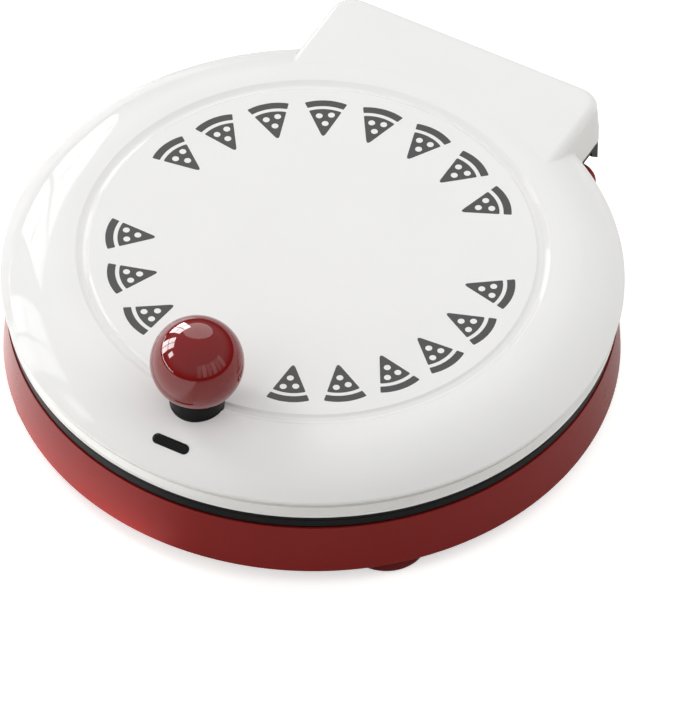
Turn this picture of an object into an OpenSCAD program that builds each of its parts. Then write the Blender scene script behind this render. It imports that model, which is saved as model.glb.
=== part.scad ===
// Electric pizza maker: a round red base and a domed white lid, joined by a hinge at the rear.
// Millimetres, +Z up, front towards -Y. The origin is at the bottom centre of the whole part.
// Both halves hold a shallow cast baking plate with a heating element behind it.

/* [Heights] */
// Height of the underside of the base above the table
foot_h = 12; // [8:0.5:20]
// Gap between the floor of the base and the lower reflector
floor_gap = 2.1; // [1.5:0.1:12]
// Height of the black ring on the base
base_ring_h = 4.5; // [4:0.1:7]
// Gap between the two black rings when the lid is shut
lid_gap = 0.4; // [0.3:0.1:1]
// Height of the black ring under the lid
lid_ring_h = 3; // [2.6:0.1:5]
// Gap between the upper reflector and the inside of the lid's top
crown_gap = 7.6; // [7:0.1:16]

/* [Base] */
// Radius that the base shell gains down to its foot
base_flare = 2.1; // [0:0.1:6]
// Radius of the bottom edge of the base shell
base_edge_r = 2.5; // [1:0.1:5]
// Wall of the base shell
base_wall = 2.8; // [2:0.1:3.2]
// How much wider the rear housing of the base is than the block of the lid, on each side
housing_side = 8.5; // [4:0.5:16]
// Distance from the top edge of the base back to the rear face of the housing
housing_overhang = 2.4; // [2.4:0.1:3.4]
// Plan radius of the rear corners of the housing
housing_corner_r = 15; // [8:0.5:20]
// Radius of the top edge of the housing
housing_edge_r = 3; // [1:0.1:3]
// How far the top of the housing lies below the top of the base shell
housing_drop = 4.2; // [3:0.1:5]
// Number of cooling slots in the floor
slot_count = 24; // [8:1:32]
// Distance from the pan axis to the middle of a cooling slot
slot_ring_r = 75; // [60:1:80]
// Width of a cooling slot
slot_w = 3; // [2:0.1:4]
// Length of a cooling slot
slot_len = 34; // [10:1:44]

/* [Rings] */
// Distance from the bead in to the outer face of the two black rings
ring_inset = 3.5; // [3:0.1:4.5]
// Distance from the inside of the lid's wall in to the middle of a ring screw
ring_screw_inset = 1.8; // [1.6:0.1:2.4]

/* [Baking plates] */
// How much smaller the radius of a plate is at its floor than at its rim
well_lean = 6.5; // [3:0.1:12]
// Depth of the lower plate
pan_depth = 18; // [14:0.5:30]
// Depth of the upper plate
plate_depth = 13.2; // [8:0.1:24]
// Casting thickness of a plate
cast_wall = 3; // [2:0.1:4]
// Radius between the floor and the wall of a plate
well_corner_r = 6; // [3:0.5:8]
// Width of the flange round a plate
flange_w = 4.4; // [3:0.1:4.6]
// Thickness of the flange round a plate
flange_h = 1.8; // [1.4:0.1:2]
// Gap between the flange and the heads of the ring screws
flange_gap = 0.9; // [0.4:0.1:2]

/* [Heating] */
// Distance from the edge of a plate's floor in to its heating element
heater_inset = 44; // [40:1:60]
// Radius of the tube of a heating element
heater_tube_r = 3.25; // [2.5:0.05:3.4]
// Angle left open between the two ends of an element
heater_gap_deg = 30; // [20:1:60]
// Distance from the edge of a plate's floor in to its mounting posts
post_inset = 26; // [22:0.5:29]
// Radius of a mounting post
post_r = 5; // [4:0.1:6]
// Sheet thickness of a reflector
sheet_t = 0.6; // [0.4:0.1:1]
// Distance from the mounting posts out to the rim of a reflector
reflector_margin = 8; // [6:0.5:10]
// Radius of a thermostat
thermostat_r = 9; // [7:0.1:11]

/* [Lid] */
// Largest radius of the lid, at its bead
lid_r = 168.5; // [150:0.5:190]
// Width of the curved shoulder, measured along the radius
shoulder_w = 36.4; // [34:0.1:38]
// Radius of the curve of the shoulder
shoulder_curve_r = 46.5; // [45:0.1:50]
// Height of the bead at the foot of the shoulder
bead_h = 2.5; // [1:0.1:3]
// Step from the bead in to the lip
bead_step = 1.3; // [0.5:0.1:2]
// Distance from the bead in to the lip's lower edge and to the top edge of the base
lip_inset = 2.9; // [2:0.1:3.8]
// Wall of the lid shell
lid_wall = 2.8; // [2:0.1:3]
// Distance from the shoulder in to the middle of the ring groove
groove_inset = 8.5; // [6:0.1:12]
// Width of the ring groove in the top
groove_w = 8; // [4:0.1:10]
// Depth of the ring groove
groove_depth = 2; // [1:0.1:2.2]
// Half width of the rear block
block_half_w = 82; // [70:0.5:100]
// Distance from the bead to the rear face of the block
block_overhang = 13.5; // [13:0.1:16]
// How far the rear block's top lies below the lid's top
block_drop = 1.3; // [0:0.1:1.5]
// Plan radius of the rear corners of the block
block_corner_r = 9; // [8:0.5:14]
// Radius of the upper edges of the block
block_edge_r = 7.5; // [4:0.1:8]

/* [Knob and window] */
// Distance from the bead in to the knob
knob_inset = 41.3; // [38:0.1:45]
// Radius of the ball
ball_r = 25.2; // [22:0.1:28]
// Height of the middle of the ball above the lid top
ball_lift = 30.3; // [28:0.1:36]
// Radius of the neck under the ball
neck_r = 14.8; // [12:0.1:16]
// Depth of the neck's seat below the lid top
seat_depth = 3; // [2.8:0.1:3.4]
// Length of the indicator window
window_len = 21; // [16:0.5:26]
// Width of the indicator window
window_w = 5; // [4:0.1:6]
// Distance from the bead in to the indicator window
window_inset = 12.7; // [11:0.1:15]

/* [Hinge] */
// Gap between a hinge knuckle and the lid ring above it
knuckle_gap = 0.5; // [0.3:0.1:1]
// Radius of a hinge pin
pin_r = 2; // [1.5:0.05:2.2]
// Radial clearance of a pin in its bores
pin_clear = 0.05; // [0.02:0.01:0.1]
// Radius of a hinge knuckle
knuckle_r = 4; // [3.6:0.1:4.5]
// Width of a bracket's lug
lug_w = 14.2; // [8:0.1:20]
// Width of a hinge arm on the lid
arm_w = 15; // [12:0.1:20]
// Distance from the side of the block in to the outer face of an arm
arm_inset = 0.5; // [0.4:0.1:3]
// Side gap between a lug and its arm
hinge_side_gap = 0.3; // [0.2:0.1:1]
// Thickness of a hinge bracket's plate
bracket_t = 2.8; // [2:0.1:3]

/* [Feet and inlet] */
// Distance from the top edge of the base in to the middle of a foot
foot_inset = 22.05; // [22:0.05:40]
// Radius of a foot at its top
foot_top_r = 23.5; // [18:0.1:24]
// Radius of a foot at its bottom
foot_bottom_r = 20.5; // [18.5:0.1:22]
// Thickness of a rubber pad
pad_h = 2.6; // [2:0.1:4]
// Radius of a rubber pad
pad_r = 17.5; // [12:0.1:18]
// Bore of the cord gland
gland_bore_r = 3.6; // [2.5:0.1:4]

/* [Hidden] */
$fn = 96;

// Cuts reach this far past the faces they open
over = 1;
// Clearance between pieces that are pushed together by hand
loose = 0.3;
// Clearance round the shank of a screw
screw_clear = 0.15;

// Heights from the floor of the base up to the rim of the lower plate
ridge_h = 2 * heater_tube_r;
pan_post_len = ridge_h + 2;
base_floor_z = foot_h + base_wall;
lower_sheet_z = base_floor_z + floor_gap;
pan_back_z = lower_sheet_z + sheet_t + pan_post_len;
pan_rim_z = pan_back_z + cast_wall + pan_depth;

// The rims of the plates lie inside the faces of the rings by this much
rim_inset = 0.2;
base_ring_top_z = pan_rim_z + rim_inset;
base_top_z = base_ring_top_z - base_ring_h;
lid_ring_z = base_ring_top_z + lid_gap;
lid_foot_z = lid_ring_z + lid_ring_h;

// Heights from the rim of the upper plate up to the top of the lid
plate_post_len = ridge_h + 0.8;
plate_rim_z = lid_ring_z + rim_inset;
plate_back_z = plate_rim_z + plate_depth + cast_wall;
upper_sheet_z = plate_back_z + plate_post_len;
lid_inner_z = upper_sheet_z + sheet_t + crown_gap;
lid_top_z = lid_inner_z + lid_wall;
lid_h = lid_top_z - lid_foot_z;

// The pan axis lies in front of the origin, because the rear block sticks out
block_rear = lid_r + block_overhang;
pan_y = -(block_rear - lid_r) / 2;

// Screws: head radius, head height, shank radius, length under the head
ring_screw = [2.2, 1.2, 1.1, 7];
bracket_screw = [3.2, 1.6, 1.5, 7];
head_sink = 0.3;
pan_screw_z = foot_h + 1.7 + head_sink;
pan_screw = [3.6, 1.7, 1.5, pan_back_z - 1 - pan_screw_z];
reflector_screw = [3.2, 1.5, 1.3, sheet_t + plate_post_len - 1.9];

// Radii, from the bead in to the plates
lip_r = lid_r - lip_inset;
base_top_r = lip_r;
ring_r = lid_r - ring_inset;
lid_inside_r = lip_r - lid_wall;
ring_screw_r = lid_inside_r - ring_screw_inset;
flange_r = ring_screw_r - ring_screw[0] - flange_gap;
well_rim_r = flange_r - flange_w - cast_wall;
well_floor_r = well_rim_r - well_lean;
plate_lean = atan(well_lean / plate_depth);
ring_hole_r = well_rim_r + cast_wall / cos(plate_lean) + loose;
ring_lip_h = lid_ring_h - flange_h;
plate_flange_drop = ring_lip_h - rim_inset;
// Depth of the skirt that centres the lower ring inside the base shell
ring_skirt_h = 2;

// Heating element, and the reflectors on their posts
heater_ring_r = well_floor_r - heater_inset;
ridge_half_w = heater_tube_r + 2.75;
tube_clear = 0.15;
cold_end_len = 9;
post_ring_r = well_floor_r - post_inset;
post_angles = [45, 135, 225, 315];
reflector_r = post_ring_r + reflector_margin;
reflector_hole_r = 14;
reflector_rim_h = 3.4;

// Lid shoulder
shoulder_r = lid_r - shoulder_w;
groove_r = shoulder_r - groove_inset;
shoulder_z = lid_top_z - shoulder_curve_r;
bead_top_z = shoulder_z + sqrt(pow(shoulder_curve_r, 2) - pow(shoulder_w, 2));
bead_foot_z = bead_top_z - bead_h;
lip_bevel = 0.6;
groove_cut_r = (pow(groove_w / 2, 2) + pow(groove_depth, 2)) / (2 * groove_depth);
// The block and the housing start inside the round shells, this far in from the bead
block_root = 68.5;
block_front = lid_r - block_root;
block_top_z = lid_top_z - block_drop;
block_inner_z = block_top_z - lid_wall;
ring_step = 0.3;

// Knob, and the screw that holds it from inside the lid
knob_r = lid_r - knob_inset;
seat_z = lid_top_z - seat_depth;
seat_floor_t = 3;
ball_z = lid_top_z + ball_lift;
neck_top_z = ball_z - sqrt(pow(ball_r, 2) - pow(neck_r, 2));
knob_bore_r = 2.5;
knob_bore_len = 14;
knob_screw_z = seat_z - seat_floor_t;
knob_screw_size = [5, 2.4, 2.3, ball_z - ball_r + knob_bore_len - 1.1 - knob_screw_z];

// Indicator window
window_r = lid_r - window_inset;
window_z = shoulder_z + sqrt(pow(shoulder_curve_r, 2) - pow(window_r - shoulder_r, 2));
window_tilt = asin((window_r - shoulder_r) / shoulder_curve_r);
window_proud = 0.3;
window_seat = lid_wall + 0.6;
window_flange = 1;
// Width of the thick rim round the window's hole, and of the window's own flange
window_rim = 3;
window_flange_w = 2;
// The lamp is a short tube on a carrier, this much shorter than the window at each end
lamp_carrier_inset = 2;
lamp_inset = 3;
lamp_r = 2;

// Housing, which is wider than the block above it
housing_half_w = block_half_w + housing_side;
housing_rear = base_top_r + housing_overhang;
housing_top_z = base_top_z - housing_drop;

// Hinge, with its pieces side by side from the block's sides inwards
axis_y = block_rear - knuckle_r;
axis_z = lid_ring_z - knuckle_gap - knuckle_r;
arm_in_x = block_half_w - arm_inset - arm_w;
lug_out_x = arm_in_x - hinge_side_gap;
lug_in_x = lug_out_x - lug_w;
lug_rise = 0.2;
lug_heel = 6;
// The arms and cheeks stay within this height above and below the axis
arm_reach = 10;
// Heel of an arm, measured from the hinge axis: its drop, its rear corner and its width
heel_drop = 6.6;
heel_back = 3.6;
heel_w = 3;
// A cheek covers the outer part of an arm, beside the bracket's plate and behind the housing
bracket_in_x = lug_in_x - 4;
bracket_out_x = arm_in_x + 8.7;
cheek_in_x = bracket_out_x + 0.5;
cheek_gap = 0.6;
cheek_front = axis_y - housing_rear - cheek_gap;
cheek_low = 7.8;
bracket_top_z = axis_z - 0.6;
bracket_h = 18.5;
bracket_low_z = bracket_top_z - bracket_h;
bracket_rear = housing_rear + bracket_t;
bracket_screw_rise = 5;
bracket_screw_in = 2;
bracket_screw_out = 6;
pin_head_r = 3.4;
pin_head_t = 1.8;
pin_end_x = arm_in_x + 8.5;

// Posts for the ring screws
rim_screw_angles = [30, 150, 210, 250, 290, 330];
block_screw_x = 34;
ring_post_r = 3.2;
// Gap that a rim post keeps to the ring, so that the lid's edge seats first
post_gap = 0.15;
nib_reach = 5.5;
nib_w = 4;

// Feet
foot_xy = (base_top_r - foot_inset) / sqrt(2);
foot_low_z = pad_h - 1.1;
foot_screw_z = foot_low_z + 7.3;
foot_boss_h = 7;
pad_grooves = [7, 12];
foot_screw = [4, 1.8, 1.5, base_floor_z + foot_boss_h - 1 - foot_screw_z];

// Small parts inside the base
fuse_place = [40, 30];
terminal_inset = 24;
terminal_x = lug_in_x - terminal_inset;
terminal_size = [32, 11, 13];
terminal_gap = 2;

// Gland
gland_z = foot_h + 14;
gland_r = 6.3;
gland_flange_r = 8.2;
gland_flange_t = 2;
gland_nose_len = 6;
gland_inner_len = 5;
gland_len = gland_inner_len + base_wall + gland_flange_t + gland_nose_len;

// ---------------------------------------------------------------- helpers

module on_pan_axis() {
    translate([0, pan_y, 0]) children();
}

module on_both_sides() {
    for (side = [0, 1]) mirror([side, 0, 0]) children();
}

module at_angles(angles, radius) {
    for (a = angles) rotate(a) translate([radius, 0, 0]) children();
}

// A screw that points up, with the underside of its head at z = 0
module screw(size) {
    slot = size[2] * 0.5;
    difference() {
        union() {
            translate([0, 0, -size[1]]) cylinder(h = size[1], r = size[0], $fn = 48);
            cylinder(h = size[3], r = size[2], $fn = 32);
        }
        for (turn = [0, 90])
            rotate(turn) translate([-size[0] * 0.6, -slot / 2, -size[1] - over])
                cube([size[0] * 1.2, slot, over + size[1] * 0.55]);
    }
}

// The hole that the screw above goes through, and the seat of its head
module screw_hole(size, depth) {
    translate([0, 0, -depth]) cylinder(h = depth, r = size[0] + loose, $fn = 48);
    translate([0, 0, -depth]) cylinder(h = depth + size[3] + loose, r = size[2] + screw_clear, $fn = 32);
}

// Plan of a box with two round rear corners
module rear_plan(half_w, front, rear, corner_r) {
    translate([-half_w, front]) square([2 * half_w, rear - corner_r - front]);
    translate([corner_r - half_w, front]) square([2 * (half_w - corner_r), rear - front]);
    for (x = [corner_r - half_w, half_w - corner_r]) translate([x, rear - corner_r]) circle(corner_r);
}

// Side view of a strip that reaches out from x = 0, with a round upper outer edge
module edge_profile(reach, low, top, edge_r) {
    translate([0, low]) square([reach, top - edge_r - low]);
    translate([0, low]) square([reach - edge_r, top - low]);
    intersection() {
        translate([reach - edge_r, top - edge_r]) circle(edge_r);
        translate([reach - edge_r, top - edge_r]) square(edge_r);
    }
}

// A box with round rear corners and a round upper edge along its sides, its rear and its corners
module rear_box(half_w, front, rear, corner_r, low, top, edge_r) {
    side_y = rear - corner_r;
    corner_x = half_w - corner_r;
    translate([-corner_x, front, low]) cube([2 * corner_x, side_y - front, top - low]);
    translate([-corner_x, side_y, 0]) rotate([90, 0, 90]) linear_extrude(2 * corner_x)
        edge_profile(corner_r, low, top, edge_r);
    on_both_sides() translate([corner_x, side_y, 0]) {
        rotate([90, 0, 0]) linear_extrude(side_y - front) edge_profile(corner_r, low, top, edge_r);
        rotate_extrude(angle = 90) edge_profile(corner_r, low, top, edge_r);
    }
}

// Section of the space in a plate, below its rim at z = 0
module well_section(rim_r, floor_r, depth, corner_r) {
    lean = atan((rim_r - floor_r) / depth);
    middle_r = floor_r - corner_r * (1 - sin(lean)) / cos(lean);
    middle_z = corner_r - depth;
    polygon([
        [0, 0], [0, -depth], [middle_r, -depth], [middle_r, middle_z],
        [middle_r + corner_r * cos(lean), middle_z - corner_r * sin(lean)], [rim_r, 0]]);
    intersection() {
        translate([middle_r, middle_z]) circle(corner_r);
        translate([middle_r, -depth]) square([corner_r, depth]);
    }
}

// A cast plate with its rim at z = 0 and its floor below, and posts and a heater ridge on its back
module baking_plate(depth, post_len, flange_drop, post_bore_r) {
    lean = atan(well_lean / depth);
    grow = cast_wall / cos(lean);
    back = depth + cast_wall;
    difference() {
        union() {
            rotate_extrude() difference() {
                union() {
                    well_section(well_rim_r + grow, well_floor_r + grow - cast_wall * tan(lean), back,
                        well_corner_r + cast_wall);
                    translate([0, -flange_drop - flange_h]) square([flange_r, flange_h]);
                }
                well_section(well_rim_r, well_floor_r, depth, well_corner_r);
                translate([0, -over]) square([well_rim_r - over, 2 * over]);
            }
            rotate_extrude() translate([heater_ring_r - ridge_half_w, -back - ridge_h])
                square([2 * ridge_half_w, ridge_h + over]);
            at_angles(post_angles, post_ring_r)
                translate([0, 0, -back - post_len]) cylinder(h = post_len + over, r = post_r, $fn = 48);
        }
        rotate_extrude() translate([heater_ring_r, -back - ridge_h / 2]) {
            circle(heater_tube_r + tube_clear, $fn = 48);
            translate([-heater_tube_r - tube_clear, -ridge_h])
                square([2 * (heater_tube_r + tube_clear), ridge_h]);
        }
        at_angles(post_angles, post_ring_r) translate([0, 0, -back - post_len - over])
            cylinder(h = post_len + over, r = post_bore_r, $fn = 32);
    }
}

// A heating element in the ridge of the plate above, with its two cold ends
module heating_element(depth) {
    sweep = 360 - heater_gap_deg;
    translate([0, 0, -depth - cast_wall - ridge_h / 2]) rotate(90 + heater_gap_deg / 2) {
        rotate_extrude(angle = sweep) translate([heater_ring_r, 0]) circle(heater_tube_r, $fn = 48);
        for (end = [0, sweep])
            rotate(end) translate([heater_ring_r, 0, 0]) rotate([end == 0 ? 90 : -90, 0, 0])
                cylinder(h = cold_end_len, r = heater_tube_r / 2, $fn = 24);
    }
}

// A reflector sheet on z = 0, with its rim turned up
module reflector() {
    difference() {
        union() {
            cylinder(h = sheet_t, r = reflector_r);
            rotate_extrude() translate([reflector_r - sheet_t, 0]) square([sheet_t, reflector_rim_h]);
        }
        translate([0, 0, -over]) cylinder(h = sheet_t + 2 * over, r = reflector_hole_r);
        at_angles(post_angles, post_ring_r) translate([0, 0, -over])
            cylinder(h = sheet_t + 2 * over, r = pan_screw[2] + loose, $fn = 32);
    }
}

// A snap-action thermostat that hangs from z = 0, with its two blades
module thermostat() {
    translate([0, 0, -5.5]) cylinder(h = 5.5, r = thermostat_r);
    translate([0, 0, -1]) rear_bar(2 * thermostat_r + 12, 8, 1);
    for (x = [-4, 4]) translate([x - 1.6, -0.4, -8.3]) cube([3.2, 0.8, 3.3]);
}

// A flat bar with round ends, centred on the Z axis
module rear_bar(length, width, thick) {
    linear_extrude(thick) union() {
        square([length - width, width], center = true);
        for (x = [-1, 1]) translate([x * (length - width) / 2, 0]) circle(width / 2, $fn = 48);
    }
}

// ---------------------------------------------------------------- base

// Section of the bowl of the base, solid to the axis
module bowl_section(inset) {
    foot_r = base_top_r + base_flare - inset;
    top_r = base_top_r - inset;
    edge_r = max(base_edge_r - inset, 0.3);
    low = foot_h + inset;
    polygon([[0, low], [foot_r - edge_r, low], [foot_r, low + edge_r], [top_r, base_top_z], [0, base_top_z]]);
    translate([foot_r - edge_r, low + edge_r]) circle(edge_r, $fn = 48);
}

module base_shell() {
    color("firebrick") on_pan_axis() difference() {
        union() {
            difference() {
                union() {
                    rotate_extrude($fn = 180) bowl_section(0);
                    rear_box(housing_half_w, block_front, housing_rear, housing_corner_r, foot_h,
                        housing_top_z, housing_edge_r);
                }
                rotate_extrude($fn = 180) bowl_section(base_wall);
                translate([0, 0, base_top_z - over])
                    cylinder(h = 2 * over, r = base_top_r - base_wall, $fn = 180);
                rear_box(housing_half_w - base_wall, block_front, housing_rear - base_wall,
                    housing_corner_r - base_wall, base_floor_z, housing_top_z - base_wall, 1);
            }
            at_angles(post_angles, post_ring_r) translate([0, 0, foot_h + over])
                cylinder(h = lower_sheet_z - foot_h - over, r = post_r + 1, $fn = 48);
            foot_places() translate([0, 0, foot_h + over])
                cylinder(h = base_wall + foot_boss_h - over, r = 5, $fn = 48);
        }
        at_angles(post_angles, post_ring_r) translate([0, 0, pan_screw_z])
            screw_hole(pan_screw, pan_screw_z - foot_h + over);
        foot_places() translate([0, 0, foot_screw_z]) cylinder(
            h = foot_screw[3] + loose, r = foot_screw[2] + screw_clear, $fn = 32);
        floor_slots();
        gland_hole();
        bracket_screw_places()
            cylinder(h = bracket_screw[3] + loose, r = bracket_screw[2] + screw_clear, $fn = 32);
    }
}

module floor_slots() {
    for (i = [0 : slot_count - 1])
        rotate((i + 0.5) * 360 / slot_count) translate([slot_ring_r, 0, foot_h - over])
            rear_bar(slot_len, slot_w, base_wall + 2 * over);
}

module foot_places() {
    for (x = [-1, 1], y = [-1, 1]) translate([x * foot_xy, y * foot_xy, 0]) children();
}

module gland_hole() {
    translate([0, housing_rear - base_wall - over, gland_z]) rotate([-90, 0, 0])
        cylinder(h = base_wall + 2 * over, r = gland_r + 0.1);
}

module base_ring() {
    color([0.09, 0.09, 0.1]) on_pan_axis() rotate_extrude($fn = 180) difference() {
        union() {
            translate([ring_hole_r, base_top_z]) square([ring_r - ring_hole_r, base_ring_h]);
            translate([ring_hole_r, base_top_z - ring_skirt_h])
                square([base_top_r - base_wall - loose - ring_hole_r, ring_skirt_h + over]);
        }
        translate([ring_hole_r - over, pan_rim_z - flange_h])
            square([flange_r + loose - ring_hole_r + over, base_ring_h]);
    }
}

module lower_pan() {
    color([0.2, 0.2, 0.21]) on_pan_axis() translate([0, 0, pan_rim_z])
        baking_plate(pan_depth, pan_post_len, 0, pan_screw[2] + screw_clear);
}

module lower_heater() {
    color("silver") on_pan_axis() translate([0, 0, pan_rim_z]) heating_element(pan_depth);
}

module lower_reflector() {
    color("lightgray") on_pan_axis() translate([0, 0, lower_sheet_z]) reflector();
}

module lower_thermostat() {
    color("tan") on_pan_axis() translate([0, 0, pan_back_z]) thermostat();
}

module thermal_fuse() {
    color("ivory") on_pan_axis() translate([fuse_place[0], fuse_place[1], pan_back_z - 5]) {
        translate([-6, -3, 0]) cube([12, 6, 5]);
        for (x = [-12, 6]) translate([x, 0, 2.5]) rotate([0, 90, 0]) cylinder(h = 6, r = 0.8, $fn = 24);
    }
}

module terminal_block() {
    block = terminal_size;
    rear = housing_rear - base_wall - terminal_gap;
    color("ivory") on_pan_axis() translate([terminal_x, rear - block[1], base_floor_z]) difference() {
        cube(block);
        for (i = [0 : 2]) translate([(i + 0.5) * block[0] / 3, block[1] / 2, 0]) {
            translate([0, 0, block[2] - 5]) cylinder(h = 5 + over, r = 2.6, $fn = 32);
            translate([0, -block[1], 4]) rotate([-90, 0, 0]) cylinder(h = 2 * block[1], r = 1.8, $fn = 32);
        }
    }
}

module cord_gland() {
    wall_in = housing_rear - base_wall;
    color([0.1, 0.1, 0.11]) on_pan_axis() translate([0, 0, gland_z]) rotate([-90, 0, 0]) difference() {
        union() {
            translate([0, 0, wall_in - gland_inner_len])
                cylinder(h = gland_inner_len + base_wall + gland_flange_t, r = gland_r);
            translate([0, 0, wall_in - 2.5]) cylinder(h = 2.5, r = gland_flange_r);
            translate([0, 0, housing_rear]) cylinder(h = gland_flange_t, r = gland_flange_r);
            translate([0, 0, housing_rear + gland_flange_t])
                cylinder(h = gland_nose_len, r1 = gland_r, r2 = gland_bore_r + 1.4);
        }
        translate([0, 0, wall_in - gland_inner_len - over])
            cylinder(h = gland_len + 2 * over, r = gland_bore_r);
    }
}

module feet() {
    color("firebrick") on_pan_axis() foot_places() difference() {
        translate([0, 0, foot_low_z]) cylinder(h = foot_h - foot_low_z, r1 = foot_bottom_r, r2 = foot_top_r);
        translate([0, 0, foot_low_z - over]) cylinder(h = pad_h - foot_low_z + over, r = pad_r + 0.2);
        translate([0, 0, foot_screw_z]) screw_hole(foot_screw, foot_h);
    }
}

module foot_pads() {
    color([0.15, 0.15, 0.15]) on_pan_axis() foot_places() difference() {
        cylinder(h = pad_h, r = pad_r);
        for (groove = pad_grooves)
            translate([0, 0, -over]) rotate_extrude() translate([groove, 0]) square([1.5, over + 0.6]);
    }
}

module foot_screws() {
    color("silver") on_pan_axis() foot_places()
        translate([0, 0, foot_screw_z]) screw(foot_screw);
}

module pan_screws() {
    color("silver") on_pan_axis() at_angles(post_angles, post_ring_r)
        translate([0, 0, pan_screw_z]) screw(pan_screw);
}

// ---------------------------------------------------------------- hinge

// Places of the bracket screws, with Z pointing forwards into the wall
module bracket_screw_places() {
    on_both_sides() for (x = [lug_in_x + bracket_screw_in, bracket_out_x - bracket_screw_out])
        translate([x, bracket_rear, bracket_low_z + bracket_screw_rise]) rotate([90, 0, 0]) children();
}

module hinge_brackets() {
    lug_root = bracket_rear - over;
    color([0.12, 0.12, 0.13]) on_pan_axis() difference() {
        on_both_sides() {
            translate([bracket_in_x, housing_rear, bracket_low_z])
                cube([bracket_out_x - bracket_in_x, bracket_t, bracket_top_z - bracket_low_z]);
            translate([lug_in_x, 0, 0]) rotate([90, 0, 90]) linear_extrude(lug_w) {
                translate([axis_y, axis_z]) circle(knuckle_r);
                polygon([
                    [lug_root, bracket_top_z], [axis_y, bracket_top_z],
                    [axis_y, axis_z - knuckle_r + lug_rise], [lug_root, axis_z - knuckle_r - lug_heel]]);
            }
        }
        hinge_bore(lug_in_x - over, lug_out_x + over);
        bracket_screw_places() translate([0, 0, -over])
            cylinder(h = bracket_t + 2 * over, r = bracket_screw[2] + screw_clear, $fn = 32);
    }
}

// Bores for the two hinge pins, between two distances from the middle
module hinge_bore(from, to) {
    on_both_sides() translate([from, axis_y, axis_z]) rotate([0, 90, 0])
        cylinder(h = to - from, r = pin_r + pin_clear, $fn = 48);
}

module bracket_screws() {
    color("silver") on_pan_axis() bracket_screw_places() screw(bracket_screw);
}

module hinge_pins() {
    color("silver") on_pan_axis() on_both_sides() translate([0, axis_y, axis_z]) rotate([0, 90, 0]) {
        translate([0, 0, lug_in_x - pin_head_t]) cylinder(h = pin_head_t, r = pin_head_r, $fn = 48);
        translate([0, 0, lug_in_x - over]) cylinder(h = pin_end_x - lug_in_x + over, r = pin_r, $fn = 48);
    }
}

// ---------------------------------------------------------------- lid

// Section of the outside of the lid, solid to the axis
module lid_outer_section() {
    translate([0, lid_foot_z]) square([shoulder_r, lid_h]);
    intersection() {
        translate([shoulder_r, shoulder_z]) circle(shoulder_curve_r, $fn = 240);
        translate([shoulder_r - over, bead_foot_z]) square([shoulder_w + over, lid_top_z - bead_foot_z]);
    }
    polygon([
        [0, lid_foot_z], [lip_r - lip_bevel, lid_foot_z], [lip_r, lid_foot_z + lip_bevel],
        [lid_r - bead_step, bead_foot_z], [lid_r - bead_step, bead_foot_z + over], [0, bead_foot_z + over]]);
}

// Section of the hollow inside the lid
module lid_inner_section() {
    low = lid_foot_z - over;
    translate([0, low]) square([shoulder_r, lid_inner_z - low]);
    intersection() {
        translate([shoulder_r, shoulder_z]) circle(shoulder_curve_r - lid_wall, $fn = 240);
        translate([shoulder_r - over, low]) square([lid_inside_r - shoulder_r + over, lid_inner_z - low]);
    }
    translate([0, low]) square([lid_inside_r, bead_foot_z - low]);
}

// Puts a piece on the shoulder at the window, with Z along the outward normal
module at_window() {
    translate([0, -window_r, window_z]) rotate([window_tilt, 0, 0]) children();
}

module lid_shell() {
    color([0.93, 0.93, 0.92]) on_pan_axis() difference() {
        union() {
            difference() {
                union() {
                    rotate_extrude($fn = 180) lid_outer_section();
                    rear_box(block_half_w, block_front, block_rear, block_corner_r, lid_foot_z, block_top_z,
                        block_edge_r);
                }
                rotate_extrude($fn = 180) lid_inner_section();
                rear_box(block_half_w - lid_wall, block_front, block_rear - lid_wall,
                    block_corner_r - lid_wall, lid_foot_z - over, block_inner_z, block_edge_r - lid_wall);
            }
            rotate_extrude($fn = 180) translate([groove_r - groove_w / 2 - 2, lid_inner_z - groove_depth])
                square([groove_w + 4, groove_depth + over / 2]);
            translate([0, -knob_r, knob_screw_z]) cylinder(h = seat_floor_t + over / 2, r = neck_r + 2.4);
            rim_screw_places() translate([0, 0, lid_foot_z + post_gap]) {
                cylinder(h = ring_screw[3] + 2, r = ring_post_r, $fn = 48);
                translate([-nib_reach, -nib_w / 2, 0]) cube([nib_reach, nib_w, ring_screw[3] + 2]);
            }
            block_screw_places() translate([0, 0, lid_foot_z])
                cylinder(h = block_inner_z - lid_foot_z + over, r = ring_post_r, $fn = 48);
            intersection() {
                at_window() translate([0, 0, -window_seat])
                    rear_bar(window_len + 2 * window_rim, window_w + 2 * window_rim, window_seat - 1);
                rotate_extrude($fn = 180) lid_outer_section();
            }
        }
        rotate_extrude($fn = 180) translate([groove_r, lid_top_z - groove_depth + groove_cut_r])
            circle(groove_cut_r, $fn = 64);
        translate([0, -knob_r, seat_z]) cylinder(h = seat_depth + over, r = neck_r + 0.2);
        translate([0, -knob_r, knob_screw_z - over])
            cylinder(h = seat_floor_t + 2 * over, r = knob_screw_size[2] + screw_clear, $fn = 32);
        at_window() translate([0, 0, -window_seat - over])
            rear_bar(window_len + 0.2, window_w + 0.2, window_seat + 3 * over);
        ring_screw_places() translate([0, 0, lid_foot_z - over])
            cylinder(h = ring_screw[3] + over, r = ring_screw[2] + screw_clear, $fn = 32);
    }
}

// Places of the screws that hold the ring: round the rim, and in the rear block
module ring_screw_places() {
    rim_screw_places() children();
    block_screw_places() children();
}

module rim_screw_places() {
    at_angles(rim_screw_angles, ring_screw_r) children();
}

module block_screw_places() {
    on_both_sides() translate([block_screw_x, axis_y - 4, 0]) children();
}

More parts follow.
